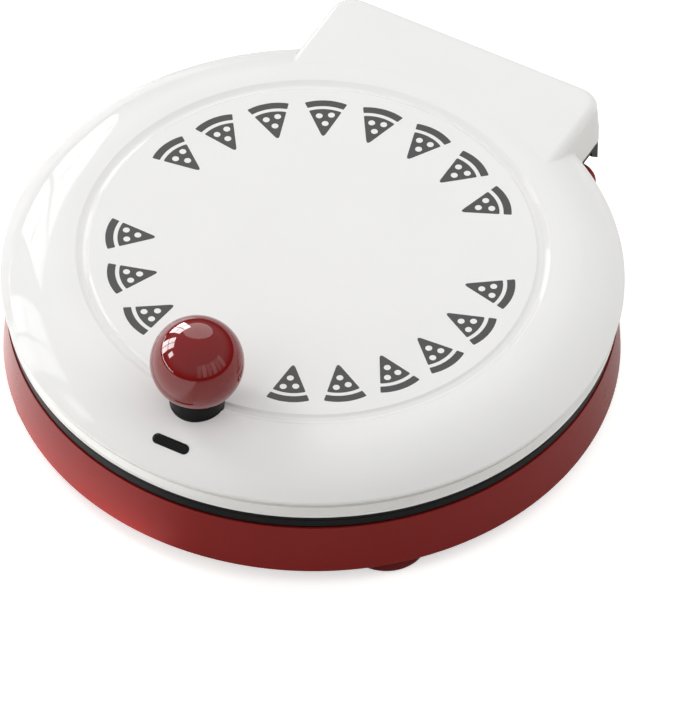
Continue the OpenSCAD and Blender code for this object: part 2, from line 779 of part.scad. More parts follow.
module lid_ring() {
    color([0.11, 0.11, 0.12]) on_pan_axis() difference() {
        union() {
            difference() {
                union() {
                    translate([0, 0, lid_ring_z]) cylinder(h = lid_ring_h, r = ring_r, $fn = 180);
                    translate([0, 0, lid_ring_z]) linear_extrude(lid_ring_h) ring_rear_plan();
                }
                translate([0, 0, lid_ring_z - over])
                    cylinder(h = lid_ring_h + 2 * over, r = ring_hole_r, $fn = 180);
                translate([0, 0, lid_ring_z + ring_lip_h])
                    cylinder(h = lid_ring_h, r = flange_r + loose, $fn = 180);
            }
            intersection() {
                on_both_sides() {
                    translate([arm_in_x, 0, 0]) rotate([90, 0, 90]) linear_extrude(arm_w) arm_outline();
                    translate([cheek_in_x, 0, 0]) rotate([90, 0, 90])
                        linear_extrude(arm_in_x + arm_w - cheek_in_x) cheek_outline();
                }
                translate([0, 0, axis_z - arm_reach]) linear_extrude(2 * arm_reach) ring_rear_plan();
            }
        }
        hinge_bore(arm_in_x - over, pin_end_x + 1);
        ring_screw_places() translate([0, 0, lid_ring_z + ring_screw[1] + 0.2])
            screw_hole(ring_screw, ring_screw[1] + 0.2 + over);
    }
}

// Plan of the rear of the lid ring, just inside the block above it
module ring_rear_plan() {
    rear_plan(block_half_w - ring_step, block_front, block_rear - ring_step, block_corner_r - ring_step);
}

// Side view of a hinge arm, with the heel that stops the lid when it is open
module arm_outline() {
    translate([axis_y, axis_z]) {
        circle(knuckle_r, $fn = 64);
        polygon([
            [-knuckle_r, lid_foot_z - axis_z], [-knuckle_r, 0], [heel_back - heel_w, -heel_drop],
            [heel_back, -heel_drop], [knuckle_r, 0], [knuckle_r, lid_foot_z - axis_z]]);
    }
}

// Side view of the cheek that covers the outer end of an arm
module cheek_outline() {
    translate([axis_y, axis_z]) polygon([
        [-cheek_front, lid_foot_z - axis_z], [-cheek_front, 0.4], [-1, -cheek_low],
        [knuckle_r, 2 - cheek_low], [knuckle_r, lid_foot_z - axis_z]]);
}

module upper_plate() {
    color([0.2, 0.2, 0.21]) on_pan_axis() translate([0, 0, plate_rim_z]) mirror([0, 0, 1])
        baking_plate(plate_depth, plate_post_len, plate_flange_drop, reflector_screw[2] + screw_clear);
}

module upper_heater() {
    color("silver") on_pan_axis() translate([0, 0, plate_rim_z]) mirror([0, 0, 1])
        heating_element(plate_depth);
}

module upper_reflector() {
    color("lightgray") on_pan_axis() translate([0, 0, upper_sheet_z + sheet_t]) mirror([0, 0, 1]) reflector();
}

module upper_thermostat() {
    color("tan") on_pan_axis() translate([0, 0, plate_back_z]) mirror([0, 0, 1]) thermostat();
}

module reflector_screws() {
    color("silver") on_pan_axis() at_angles(post_angles, post_ring_r)
        translate([0, 0, upper_sheet_z + sheet_t]) mirror([0, 0, 1]) screw(reflector_screw);
}

module ring_screws() {
    color("silver") on_pan_axis() ring_screw_places()
        translate([0, 0, lid_ring_z + ring_screw[1] + 0.2]) screw(ring_screw);
}

module knob_ball() {
    color("red") on_pan_axis() translate([0, -knob_r, ball_z]) difference() {
        sphere(ball_r);
        translate([0, 0, -ball_r - over]) cylinder(h = knob_bore_len + over, r = knob_bore_r, $fn = 48);
    }
}

module knob_neck() {
    color([0.08, 0.08, 0.09]) on_pan_axis() translate([0, -knob_r, 0]) difference() {
        translate([0, 0, seat_z]) cylinder(h = neck_top_z - seat_z, r = neck_r);
        translate([0, 0, ball_z]) sphere(ball_r + 0.05);
        translate([0, 0, seat_z - over]) cylinder(h = ball_lift + over, r = knob_bore_r, $fn = 48);
    }
}

module knob_screw() {
    color("silver") on_pan_axis() translate([0, -knob_r, knob_screw_z]) screw(knob_screw_size);
}

module indicator_window() {
    color([0.07, 0.07, 0.08]) on_pan_axis() at_window() {
        translate([0, 0, -window_seat - window_flange])
            rear_bar(window_len, window_w, window_seat + window_flange + window_proud);
        translate([0, 0, -window_seat - window_flange])
            rear_bar(window_len + 2 * window_flange_w, window_w + 2 * window_flange_w, window_flange);
    }
}

module indicator_lamp() {
    lamp_len = window_len - 2 * lamp_inset;
    color("orange") on_pan_axis() at_window() translate([0, 0, -window_seat - window_flange - 3]) {
        translate([0, 0, 1]) rear_bar(window_len - 2 * lamp_carrier_inset, window_w, 2);
        translate([-lamp_len / 2, 0, 0]) rotate([0, 90, 0]) cylinder(h = lamp_len, r = lamp_r, $fn = 48);
    }
}

base_shell();
base_ring();
lower_pan();
lower_heater();
lower_reflector();
lower_thermostat();
thermal_fuse();
terminal_block();
cord_gland();
feet();
foot_pads();
foot_screws();
pan_screws();
hinge_brackets();
bracket_screws();
hinge_pins();
lid_shell();
lid_ring();
upper_plate();
upper_heater();
upper_reflector();
upper_thermostat();
reflector_screws();
ring_screws();
knob_ball();
knob_neck();
knob_screw();
indicator_window();
indicator_lamp();
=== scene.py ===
import math

import bpy
import numpy as np
from mathutils import Matrix, Vector


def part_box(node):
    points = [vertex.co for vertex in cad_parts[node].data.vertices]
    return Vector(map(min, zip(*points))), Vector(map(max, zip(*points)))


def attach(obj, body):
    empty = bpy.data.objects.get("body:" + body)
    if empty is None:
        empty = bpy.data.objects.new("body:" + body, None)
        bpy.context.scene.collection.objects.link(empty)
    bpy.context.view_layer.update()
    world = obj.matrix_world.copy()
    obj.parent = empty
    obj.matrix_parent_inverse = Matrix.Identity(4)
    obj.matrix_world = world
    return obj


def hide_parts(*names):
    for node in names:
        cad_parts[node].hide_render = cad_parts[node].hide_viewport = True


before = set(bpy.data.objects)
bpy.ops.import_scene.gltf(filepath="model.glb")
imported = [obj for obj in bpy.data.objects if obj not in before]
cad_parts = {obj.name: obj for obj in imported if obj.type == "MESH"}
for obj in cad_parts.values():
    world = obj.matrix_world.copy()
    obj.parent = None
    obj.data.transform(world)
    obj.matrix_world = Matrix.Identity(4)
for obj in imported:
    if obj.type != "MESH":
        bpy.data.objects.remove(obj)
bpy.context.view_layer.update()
MM = 0.001


def span(node):
    """Lowest and highest corner of a CAD node, in millimetres."""
    low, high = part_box(node)
    return np.array(low) / MM, np.array(high) / MM


# ---------------------------------------------------------------- sizes, in mm

shell_low, shell_high = span("lid_shell")
base_low, base_high = span("base_shell")
ring_low, ring_high = span("base_ring")
ball_low, ball_high = span("knob_ball")
pad_high = span("foot_pads")[1]

PAN_Y = (ring_low[1] + ring_high[1]) / 2

# The lid: a flat top with a ring groove, a domed shoulder, a bead and a set-back lip
LID_TOP = shell_high[2]
LID_FOOT = shell_low[2]
LID_R = PAN_Y - shell_low[1]
LID_WALL = 2.8
GROOVE_R = LID_R - 44.9
GROOVE_INNER_W = 2.9
GROOVE_OUTER_W = 4.4
GROOVE_DEPTH = 2
SHOULDER_CURVE_R = 46.5
SHOULDER_R = LID_R - 36.4
SHOULDER_Z = LID_TOP - SHOULDER_CURVE_R


def shoulder_height(radius):
    """Height of the domed shoulder at a distance from the pan axis."""
    return SHOULDER_Z + math.sqrt(SHOULDER_CURVE_R**2 - (radius - SHOULDER_R) ** 2)


def shoulder_radius(height):
    """Distance of the domed shoulder from the pan axis at a height."""
    return SHOULDER_R + math.sqrt(SHOULDER_CURVE_R**2 - (height - SHOULDER_Z) ** 2)


BEAD_TOP = shoulder_height(LID_R)
BEAD_FOOT = BEAD_TOP - 2.5
# Above this height the lid follows the shoulder's curve, and below it the outline of the lip
LIP_REACH = BEAD_TOP + 4
LIP_TOP_R = LID_R - 2.1
LIP_R = LID_R - 2.4
LIP_FLARE = 0.3
# A recess under the bead, which shows as a dark line
RECESS_FOOT = BEAD_FOOT - 3.6
RECESS_R = LIP_TOP_R - 1.6

# The rear block of the lid, whose upright corners get rounder towards its top
BLOCK_HALF_W = 82
BLOCK_REAR = shell_high[1] - PAN_Y
BLOCK_TOP = LID_TOP - 1.3
BLOCK_CORNER_R = 9
BLOCK_CORNER_Z = LID_FOOT + 8
BLOCK_TOP_CORNER_R = 14
BLOCK_EDGE_R = 5
BLOCK_FILLET_R = 1.6

# The base's skin reaches a little lower than its solid, as the real wall does
BASE_FOOT = base_low[2] - 2.8
BASE_TOP = base_high[2] - 1.2
BASE_FOOT_R = (base_high[0] - base_low[0]) / 2
BASE_TOP_R = BASE_FOOT_R - 2.1
BASE_EDGE_R = 1
BASE_WALL = 2.8
# The skin turns in under the wall by this width, and the floor laps it a little
UNDERSIDE_W = 4
FLOOR_LAP = 0.5
HOUSING_HALF_W = 90.5
HOUSING_REAR = base_high[1] - PAN_Y
HOUSING_TOP = base_high[2] - 4.2
HOUSING_CORNER_R = 15
HOUSING_EDGE_R = 3
HOUSING_FILLET_R = 3
# The front faces of the rear block and of the housing lie hidden inside the round shells
BOX_FRONT = 20

# Holes of the base's floor
SLOT_COUNT = 24
SLOT_RING_R = 75
SLOT_LEN = 34
SLOT_W = 3
SCREW_HOLE_RING_R = 118
SCREW_HOLE_R = 3.9

KNOB_Y = (ball_low[1] + ball_high[1]) / 2
BALL_R = (ball_high[0] - ball_low[0]) / 2
BALL_Z = ball_high[2] - BALL_R
NECK_R = 14.8
KNOB_SCREW_R = 2.6
WINDOW_R = LID_R - 12.7
WINDOW_LEN = 20.6
WINDOW_W = 4.6

PAD_R = 17.5
FOOT_OUT = pad_high[0] - PAD_R
FOOT_TOP_R = 23.8
FOOT_BOTTOM_R = 22.2
FOOT_LOW = 1.2

# Each shell's skin is cast by rays from a ring-shaped hub inside it
LID_HUB_R = SHOULDER_R - 14
LID_HUB_Z = LID_FOOT
SHOULDER_ROWS = 90
BASE_HUB_R = 120
BASE_HUB_Z = 28
BASE_ROWS = 110
LOWEST_BASE_RAY = math.radians(-24)
RAY_REACH = 110
RAY_HALVINGS = 34

# In degrees: the steps round the pan axis, and where the rear boxes meet the round shells
STEP = 0.6
CORNER_STEP = 0.12
NEAR_CORNER = 10
LID_CORNER = 60
BASE_CORNER = 57

# ---------------------------------------------------------------- mesh helpers


def write_mesh(name, points, faces, material, body):
    """A smooth mesh object from points in millimetres, riding on a CAD body."""
    mesh = bpy.data.meshes.new(name)
    corners = [tuple(int(index) for index in face) for face in faces]
    mesh.from_pydata((np.asarray(points) * MM).tolist(), [], corners)
    mesh.validate()
    mesh.materials.append(material)
    mesh.polygons.foreach_set("use_smooth", [True] * len(mesh.polygons))
    piece = bpy.data.objects.new(name, mesh)
    bpy.context.scene.collection.objects.link(piece)
    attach(piece, body)
    return piece


def weigh_normals(piece):
    """Flat stretches stay flat next to their rounded edges."""
    modifier = piece.modifiers.new("weighted", "WEIGHTED_NORMAL")
    modifier.mode = "FACE_AREA"
    modifier.weight = 60
    modifier.keep_sharp = False


def grid_faces(rows, columns):
    """Quads of a grid whose columns close into a ring."""
    row = np.arange(rows - 1)[:, None] * columns
    column = np.arange(columns)[None, :]
    following = (column + 1) % columns
    corners = [row + column, row + following, row + columns + following, row + columns + column]
    return np.stack(corners, -1).reshape(-1, 4).tolist()


def rounded(corners, steps=6):
    """An open outline of (across, up, radius) corners, with each corner turned into a curve."""
    nearly_straight = 1.55
    longest_share = 0.49
    points = [corners[0][:2]]
    for before, corner, after in zip(corners, corners[1:], corners[2:]):
        here = np.array(corner[:2], float)
        back = np.array(before[:2]) - here
        ahead = np.array(after[:2]) - here
        back_len, ahead_len = np.linalg.norm(back), np.linalg.norm(ahead)
        back, ahead = back / back_len, ahead / ahead_len
        half = math.acos(max(-1, min(1, float(back @ ahead)))) / 2
        if corner[2] <= 0 or half > nearly_straight:
            points.append(tuple(here))
            continue
        reach = min(corner[2] / math.tan(half), longest_share * back_len, longest_share * ahead_len)
        start, end = here + back * reach, here + ahead * reach
        for t in np.linspace(0, 1, steps + 1):
            curve = (1 - t) ** 2 * start + 2 * t * (1 - t) * here + t**2 * end
            points.append(tuple(curve))
    points.append(corners[-1][:2])
    return points


def turned(name, corners, centre, material, body, sides=128):
    """A turned piece: its outline is (radius, height, rounding), and it turns about a point's Z axis."""
    outline = np.array(rounded(corners))
    turn = np.linspace(0, 2 * math.pi, sides, endpoint=False)
    x = centre[0] + outline[:, :1] * np.cos(turn)
    y = centre[1] + outline[:, :1] * np.sin(turn)
    z = np.repeat(outline[:, 1:] + centre[2], sides, axis=1)
    points = np.stack([x, y, z], -1).reshape(-1, 3)
    piece = write_mesh(name, points, grid_faces(len(outline), sides), material, body)
    weigh_normals(piece)
    return piece


def plate(name, outlines, low, high, bevel, material, body, matrix=None):
    """A flat plate between two heights from closed outlines, where an outline inside another is a hole."""
    curve = bpy.data.curves.new(name, "CURVE")
    curve.dimensions = "2D"
    curve.fill_mode = "BOTH"
    curve.extrude = ((high - low) / 2 - bevel) * MM
    curve.bevel_depth = bevel * MM
    curve.bevel_resolution = 2
    curve.offset = -bevel * MM
    for outline in outlines:
        spline = curve.splines.new("POLY")
        spline.points.add(len(outline) - 1)
        for point, (x, y) in zip(spline.points, outline):
            point.co = (x * MM, y * MM, 0, 1)
        spline.use_cyclic_u = True
    maker = bpy.data.objects.new(name + "_outline", curve)
    bpy.context.scene.collection.objects.link(maker)
    bpy.context.view_layer.update()
    mesh = bpy.data.meshes.new_from_object(maker.evaluated_get(bpy.context.evaluated_depsgraph_get()))
    bpy.data.objects.remove(maker)
    mesh.transform(Matrix.Translation((0, 0, (low + high) / 2 * MM)))
    if matrix is not None:
        mesh.transform(matrix)
    mesh.name = name
    mesh.materials.clear()
    mesh.materials.append(material)
    piece = bpy.data.objects.new(name, mesh)
    bpy.context.scene.collection.objects.link(piece)
    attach(piece, body)
    return piece


def circle(x, y, radius, steps=48):
    """Points of a full circle."""
    turn = np.linspace(0, 2 * math.pi, steps, endpoint=False)
    return [(x + radius * math.cos(t), y + radius * math.sin(t)) for t in turn]


def arc(radius, start, end, steps=12):
    """Points of an arc about the origin, in degrees from the Y axis, clockwise, as (across, up, rounding)."""
    turn = np.radians(np.linspace(start, end, steps))
    return [(radius * math.sin(t), radius * math.cos(t), 0) for t in turn]


def pill(length, width, steps=16):
    """A bar with round ends, centred on the origin, along X."""
    r = width / 2
    turn = np.linspace(-math.pi / 2, math.pi / 2, steps)
    right = [(length / 2 - r + r * math.cos(t), r * math.sin(t)) for t in turn]
    return right + [(-x, -y) for x, y in right]


def placed(outline, angle, x=0, y=0):
    """An outline turned about the origin and then moved."""
    c, s = math.cos(angle), math.sin(angle)
    return [(x + c * u - s * v, y + s * u + c * v) for u, v in outline]


def rounded_loop(corners):
    """A closed outline with rounded corners. It starts halfway between its last and first corner."""
    (x0, y0, _), (x1, y1, _) = corners[-1], corners[0]
    middle = ((x0 + x1) / 2, (y0 + y1) / 2, 0)
    return rounded([middle] + corners + [middle])[:-1]


# ---------------------------------------------------------------- shader helpers


def new_material(name, colour, roughness, **sockets):
    """A Principled material, with the sockets that stay the same all over set on the shader."""
    material = bpy.data.materials.new(name)
    material.use_nodes = True
    shader = material.node_tree.nodes["Principled BSDF"]
    shader.inputs["Base Color"].default_value = (*colour, 1)
    shader.inputs["Roughness"].default_value = roughness
    for socket, value in sockets.items():
        shader.inputs[socket.replace("_", " ")].default_value = value
    return material, material.node_tree, shader


def math_node(tree, operation, *values):
    """A Math node, each of whose inputs is a number or comes from another node."""
    node = tree.nodes.new("ShaderNodeMath")
    node.operation = operation
    for socket, value in zip(node.inputs, values):
        if isinstance(value, bpy.types.NodeSocket):
            tree.links.new(value, socket)
        else:
            socket.default_value = value
    return node.outputs["Value"]


def map_range(tree, value, source, target, interpolation="LINEAR"):
    """Maps a value from one range to another."""
    node = tree.nodes.new("ShaderNodeMapRange")
    node.interpolation_type = interpolation
    node.inputs["From Min"].default_value, node.inputs["From Max"].default_value = source
    node.inputs["To Min"].default_value, node.inputs["To Max"].default_value = target
    tree.links.new(value, node.inputs["Value"])
    return node.outputs["Result"]


def object_noise(tree, scale, detail=3, stretch=(1, 1, 1)):
    """Noise in the object's own coordinates, at a scale in cells per metre."""
    place = tree.nodes.new("ShaderNodeTexCoord")
    mapping = tree.nodes.new("ShaderNodeMapping")
    mapping.inputs["Scale"].default_value = stretch
    noise = tree.nodes.new("ShaderNodeTexNoise")
    noise.inputs["Scale"].default_value = scale
    noise.inputs["Detail"].default_value = detail
    tree.links.new(place.outputs["Object"], mapping.inputs["Vector"])
    tree.links.new(mapping.outputs["Vector"], noise.inputs["Vector"])
    return noise.outputs["Fac"]


def spread(tree, noise, low, high):
    """Maps the part of its range that noise mostly keeps to, to another range."""
    return map_range(tree, noise, (0.3, 0.7), (low, high))


def vary_colour(tree, shader, value, first, second):
    """The colour runs between two tones as the value runs from 0 to 1."""
    mix = tree.nodes.new("ShaderNodeMix")
    mix.data_type = "RGBA"
    mix.inputs["A"].default_value = (*first, 1)
    mix.inputs["B"].default_value = (*second, 1)
    tree.links.new(value, mix.inputs["Factor"])
    tree.links.new(mix.outputs["Result"], shader.inputs["Base Color"])


def add_bump(tree, shader, value, distance):
    """A bump whose full height is a distance in millimetres."""
    bump = tree.nodes.new("ShaderNodeBump")
    bump.inputs["Distance"].default_value = distance * MM
    bump.inputs["Strength"].default_value = 1.0
    tree.links.new(value, bump.inputs["Height"])
    tree.links.new(bump.outputs["Normal"], shader.inputs["Normal"])


# ---------------------------------------------------------------- materials


def moulded_plastic(name, colour, roughness, ripple, grain, shade=0.04, **sockets):
    """Moulded plastic: a slow ripple, a fine grain, and slow patches that are a shade darker."""
    material, tree, shader = new_material(name, colour, roughness, **sockets)
    slow = object_noise(tree, scale=22, detail=2)
    fine = object_noise(tree, scale=1400, detail=2)
    darker = tuple(channel * (1 - shade) for channel in colour)
    vary_colour(tree, shader, spread(tree, slow, 0, 1), colour, darker)
    tree.links.new(spread(tree, fine, roughness * 0.9, roughness * 1.15), shader.inputs["Roughness"])
    height = math_node(tree, "MULTIPLY_ADD", fine, grain / ripple, slow)
    add_bump(tree, shader, height, ripple)
    return material


def coated_casting():
    """A non-stick coating: near black, with a fine sparkle in its gloss and a faint orange peel."""
    material, tree, shader = new_material(
        "coated_casting", (0.03, 0.03, 0.032), 0.38, Specular_IOR_Level=0.6
    )
    slow = object_noise(tree, scale=60)
    fine = object_noise(tree, scale=2600, detail=2)
    vary_colour(tree, shader, spread(tree, slow, 0, 1), (0.026, 0.026, 0.028), (0.04, 0.04, 0.042))
    tree.links.new(spread(tree, fine, 0.28, 0.5), shader.inputs["Roughness"])
    add_bump(tree, shader, fine, 0.02)
    return material


def metal(name, colour, roughness, stretch, scale):
    """Metal with fine lines drawn out along one direction."""
    material, tree, shader = new_material(name, colour, roughness, Metallic=1.0)
    lines = object_noise(tree, scale, stretch=stretch)
    slow = object_noise(tree, scale=40)
    darker = tuple(channel * 0.86 for channel in colour)
    vary_colour(tree, shader, spread(tree, slow, 0, 1), colour, darker)
    tree.links.new(spread(tree, lines, roughness * 0.75, roughness * 1.3), shader.inputs["Roughness"])
    add_bump(tree, shader, lines, 0.004)
    return material


# Each plastic: its colour, its roughness, and the heights of its ripple and its grain
white_plastic = moulded_plastic(
    "white_plastic", (0.80, 0.797, 0.786), 0.04, 0.02, 0.0005, shade=0.015, Specular_IOR_Level=0.06
)
red_plastic = moulded_plastic(
    "red_plastic", (0.21, 0.0135, 0.0115), 0.22, 0.02, 0.0006, Specular_IOR_Level=0.125
)
# The feet's red is the base's red made darker: painted shade, standing for the shade under the base
red_plastic_painted_shade = moulded_plastic(
    "red_plastic_painted_shade", (0.13, 0.007, 0.006), 0.3, 0.02, 0.002, Specular_IOR_Level=0.12
)
ball_plastic = moulded_plastic(
    "ball_plastic", (0.2, 0.004, 0.004), 0.03, 0.008, 0.0002, shade=0.1, Specular_IOR_Level=0.55
)
black_plastic = moulded_plastic(
    "black_plastic", (0.006, 0.0062, 0.0065), 0.35, 0.02, 0.004, Specular_IOR_Level=0.1
)
grey_plastic = moulded_plastic("grey_plastic", (0.10, 0.10, 0.10), 0.4, 0.02, 0.004)
window_plastic = moulded_plastic(
    "window_plastic", (0.006, 0.006, 0.0065), 0.12, 0.01, 0.0005, Specular_IOR_Level=0.2
)
print_ink = moulded_plastic(
    "print_ink", (0.055, 0.055, 0.055), 0.35, 0.01, 0.001, Specular_IOR_Level=0.15
)
rubber = moulded_plastic("rubber", (0.02, 0.02, 0.02), 0.75, 0.03, 0.02)
ceramic = moulded_plastic("ceramic", (0.72, 0.68, 0.58), 0.6, 0.03, 0.02)
lamp_lens = moulded_plastic(
    "lamp_lens", (0.6, 0.13, 0.02), 0.2, 0.02, 0.002, Transmission_Weight=0.3
)
casting = coated_casting()
sheet_metal = metal("sheet_metal", (0.78, 0.78, 0.77), 0.3, (1, 0.05, 1), 900)
heater_steel = metal("heater_steel", (0.36, 0.32, 0.29), 0.42, (1, 1, 1), 500)
screw_steel = metal("screw_steel", (0.62, 0.61, 0.58), 0.3, (1, 1, 0.1), 1500)

NODE_MATERIALS = {
    "base_ring": black_plastic,
    "lid_ring": black_plastic,
    "lower_pan": casting,
    "upper_plate": casting,
    "lower_heater": heater_steel,
    "upper_heater": heater_steel,
    "lower_reflector": sheet_metal,
    "upper_reflector": sheet_metal,
    "lower_thermostat": ceramic,
    "upper_thermostat": ceramic,
    "thermal_fuse": ceramic,
    "terminal_block": ceramic,
    "cord_gland": black_plastic,
    "foot_pads": rubber,
    "foot_screws": screw_steel,
    "pan_screws": screw_steel,
    "bracket_screws": screw_steel,
    "hinge_pins": screw_steel,
    "hinge_brackets": grey_plastic,
    "reflector_screws": screw_steel,
    "ring_screws": screw_steel,
    "knob_screw": screw_steel,
    "indicator_lamp": lamp_lens,
    "indicator_window": window_plastic,
    "knob_neck": black_plastic,
    "knob_ball": ball_plastic,
    "feet": red_plastic_painted_shade,
    "lid_shell": white_plastic,
    "base_shell": red_plastic,
}


def dress_nodes():
    """Each CAD node gets its material, and its curved faces are shaded smooth."""
    sharpest = math.radians(35)
    for node, material in NODE_MATERIALS.items():
        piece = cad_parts[node]
        piece.data.materials.clear()
        piece.data.materials.append(material)
        with bpy.context.temp_override(
            object=piece,
            active_object=piece,
            selected_objects=[piece],
            selected_editable_objects=[piece],
        ):
            bpy.ops.object.shade_smooth_by_angle(angle=sharpest)


# ---------------------------------------------------------------- fields of the shells


def box_field(x, y, z, half_w, rear, top, corner_r, edge_r):
    """Distance to a box with round upright corners and a round upper edge, and its normal."""
    half_l = (rear - BOX_FRONT) / 2
    from_middle = y - (rear + BOX_FRONT) / 2
    side = np.abs(x) - (half_w - corner_r)
    back = np.abs(from_middle) - (half_l - corner_r)
    out_x, out_y = np.maximum(side, 0), np.maximum(back, 0)
    reach = np.hypot(out_x, out_y)
    plan = reach + np.minimum(np.maximum(side, back), 0) - corner_r
    at_corner = reach > 1e-9
    safe = np.where(at_corner, reach, 1)
    plan_x = np.where(at_corner, out_x / safe, (side > back) * 1.0) * np.sign(x)
    plan_y = np.where(at_corner, out_y / safe, (side <= back) * 1.0) * np.sign(from_middle)
    outward, upward = plan + edge_r, z - (top - edge_r)
    past_side, past_top = np.maximum(outward, 0), np.maximum(upward, 0)
    length = np.hypot(past_side, past_top)
    distance = length + np.minimum(np.maximum(outward, upward), 0) - edge_r
    at_edge = length > 1e-9
    safe = np.where(at_edge, length, 1)
    share = np.where(at_edge, past_side / safe, (outward > upward) * 1.0)
    rise = np.where(at_edge, past_top / safe, (outward <= upward) * 1.0)
    return distance, (plan_x * share, plan_y * share, rise)


def join_fields(first, first_normal, second, second_normal, fillet_r):
    """Union with a fillet that has about the same radius at every angle between the two faces."""
    facing = sum(p * q for p, q in zip(first_normal, second_normal))
    width = np.maximum(fillet_r * (1 - facing), 1e-6)
    blend = np.maximum(width - np.abs(first - second), 0) / width
    return np.minimum(first, second) - blend * blend * width / 4


# The lip from its foot up, as (height, radius, rounding)
LIP_OUTLINE = rounded(
    [
        (LID_FOOT, LIP_R - 0.4, 0),
        (LID_FOOT + LIP_FLARE, LIP_R + LIP_FLARE, 0.2),
        (LID_FOOT + 1.3, LIP_R - LIP_FLARE, 0.3),
        (RECESS_FOOT, LIP_TOP_R, 0.1),
        (RECESS_FOOT + 0.3, RECESS_R, 0.1),
        (BEAD_FOOT - 0.5, RECESS_R, 0.1),
        (BEAD_FOOT + 0.6, LID_R, 0.4),
        (BEAD_TOP, LID_R, 1.2),
        (LIP_REACH, shoulder_radius(LIP_REACH), 0),
    ]
)


def lid_field(x, y, z):
    """Distance to the lid's outer skin, measured from the pan axis."""
    r = np.hypot(x, y)
    safe_r = np.maximum(r, 1e-9)
    rise = np.maximum(z - SHOULDER_Z, 1e-6)
    run = np.maximum(r - SHOULDER_R, 0)
    length = np.hypot(run, rise)
    heights, radii = zip(*LIP_OUTLINE)
    low = z < LIP_REACH
    dome = np.where(low, r - np.interp(z, heights, radii), length - SHOULDER_CURVE_R)
    outward = np.where(low, 1.0, run / length)
    upward = np.where(low, 0.0, rise / length)
    normal = (outward * x / safe_r, outward * y / safe_r, upward)
    corner_r = np.interp(z, (BLOCK_CORNER_Z, BLOCK_TOP), (BLOCK_CORNER_R, BLOCK_TOP_CORNER_R))
    block, block_normal = box_field(
        x, y, z, BLOCK_HALF_W, BLOCK_REAR, BLOCK_TOP, corner_r, BLOCK_EDGE_R
    )
    return join_fields(dome, normal, block, block_normal, BLOCK_FILLET_R)


def base_field(x, y, z):
    """Distance to the base's outer skin, measured from the pan axis."""
    r = np.hypot(x, y)
    safe_r = np.maximum(r, 1e-9)
    lean = (BASE_FOOT_R - BASE_TOP_R) / (BASE_TOP - BASE_FOOT)
    wall = r - (BASE_FOOT_R - lean * (z - BASE_FOOT))
    outward = (x / safe_r, y / safe_r, np.zeros_like(r))
    housing, housing_normal = box_field(
        x, y, z, HOUSING_HALF_W, HOUSING_REAR, HOUSING_TOP, HOUSING_CORNER_R, HOUSING_EDGE_R
    )
    side = join_fields(wall, outward, housing, housing_normal, HOUSING_FILLET_R)
    past_side, past_foot = side + BASE_EDGE_R, BASE_FOOT - z + BASE_EDGE_R
    corner = np.hypot(np.maximum(past_side, 0), np.maximum(past_foot, 0))
    return corner + np.minimum(np.maximum(past_side, past_foot), 0) - BASE_EDGE_R


# ---------------------------------------------------------------- skins of the shells


def shell_angles(corner_angle):
    """Angles round the pan axis, closer together where the rear box meets the round shell."""
    right, left = corner_angle, 180 - corner_angle
    stops = [
        (0, right - NEAR_CORNER, STEP),
        (right - NEAR_CORNER, right + NEAR_CORNER, CORNER_STEP),
        (right + NEAR_CORNER, left - NEAR_CORNER, STEP),
        (left - NEAR_CORNER, left + NEAR_CORNER, CORNER_STEP),
        (left + NEAR_CORNER, 360, STEP),
    ]
    angles = []
    for start, end, step in stops:
        count = max(2, round((end - start) / step))
        angles.append(np.linspace(start, end, count, endpoint=False))
    return np.radians(np.concatenate(angles))


def cast_skin(field, turn, slope, hub_r, hub_z):
    """Where rays from a ring-shaped hub leave a solid, a row for each slope and a column for each angle."""
    across, rise = np.cos(slope)[:, None], np.sin(slope)[:, None]
    cos_t, sin_t = np.cos(turn)[None, :], np.sin(turn)[None, :]
    inside = np.zeros((len(slope), len(turn)))
    outside = np.full_like(inside, RAY_REACH)
    for _ in range(RAY_HALVINGS):
        middle = (inside + outside) / 2
        r, z = hub_r + across * middle, hub_z + rise * middle
        out = field(r * cos_t, r * sin_t, z) > 0
        outside = np.where(out, middle, outside)
        inside = np.where(out, inside, middle)
    r, z = hub_r + across * inside, hub_z + rise * inside
    return np.stack([r * cos_t, r * sin_t, z], -1)


def ring_rows(outline, turn):
    """Round rows, one for each (radius, height)."""
    outline = np.array(outline)
    r = np.repeat(outline[:, :1], len(turn), axis=1)
    z = np.repeat(outline[:, 1:], len(turn), axis=1)
    return np.stack([r * np.cos(turn), r * np.sin(turn), z], -1)


def inset_row(row, inset, height):
    """A row drawn in towards the pan axis and laid level."""
    r = np.hypot(row[:, 0], row[:, 1])
    x, y = row[:, 0] * (1 - inset / r), row[:, 1] * (1 - inset / r)
    return np.stack([x, y, np.full(len(row), height)], -1)


def skin_object(name, rows, cap_z, material, body):
    """A skin from rows of points. A cap height closes its first or last row by a fan to the axis."""
    count = rows.shape[1]
    points = rows.reshape(-1, 3) + (0, PAN_Y, 0)
    faces = grid_faces(rows.shape[0], count)
    for height, row, turn_round in ((cap_z[0], 0, True), (cap_z[1], rows.shape[0] - 1, False)):
        if height is None:
            continue
        centre = len(points)
        points = np.vstack([points, [[0, PAN_Y, height]]])
        start = row * count
        for i in range(count):
            a, b = start + i, start + (i + 1) % count
            faces.append((centre, b, a) if turn_round else (centre, a, b))
    piece = write_mesh(name, points, faces, material, body)
    weigh_normals(piece)
    return piece


def lid_top_outline():
    """The flat top of the lid with its ring groove, from the middle outwards."""
    return rounded(
        [
            (30, LID_TOP, 0),
            (90, LID_TOP, 0),
            (GROOVE_R - GROOVE_INNER_W, LID_TOP, 0.3),
            (GROOVE_R - 1.6, LID_TOP - 0.6 * GROOVE_DEPTH, 1.2),
            (GROOVE_R + 0.6, LID_TOP - GROOVE_DEPTH, 1),
            (GROOVE_R + 1.6, LID_TOP - 0.9 * GROOVE_DEPTH, 1),
            (GROOVE_R + GROOVE_OUTER_W, LID_TOP, 1.2),
            (SHOULDER_R - 0.1, LID_TOP, 0),
        ],
        steps=8,
    )


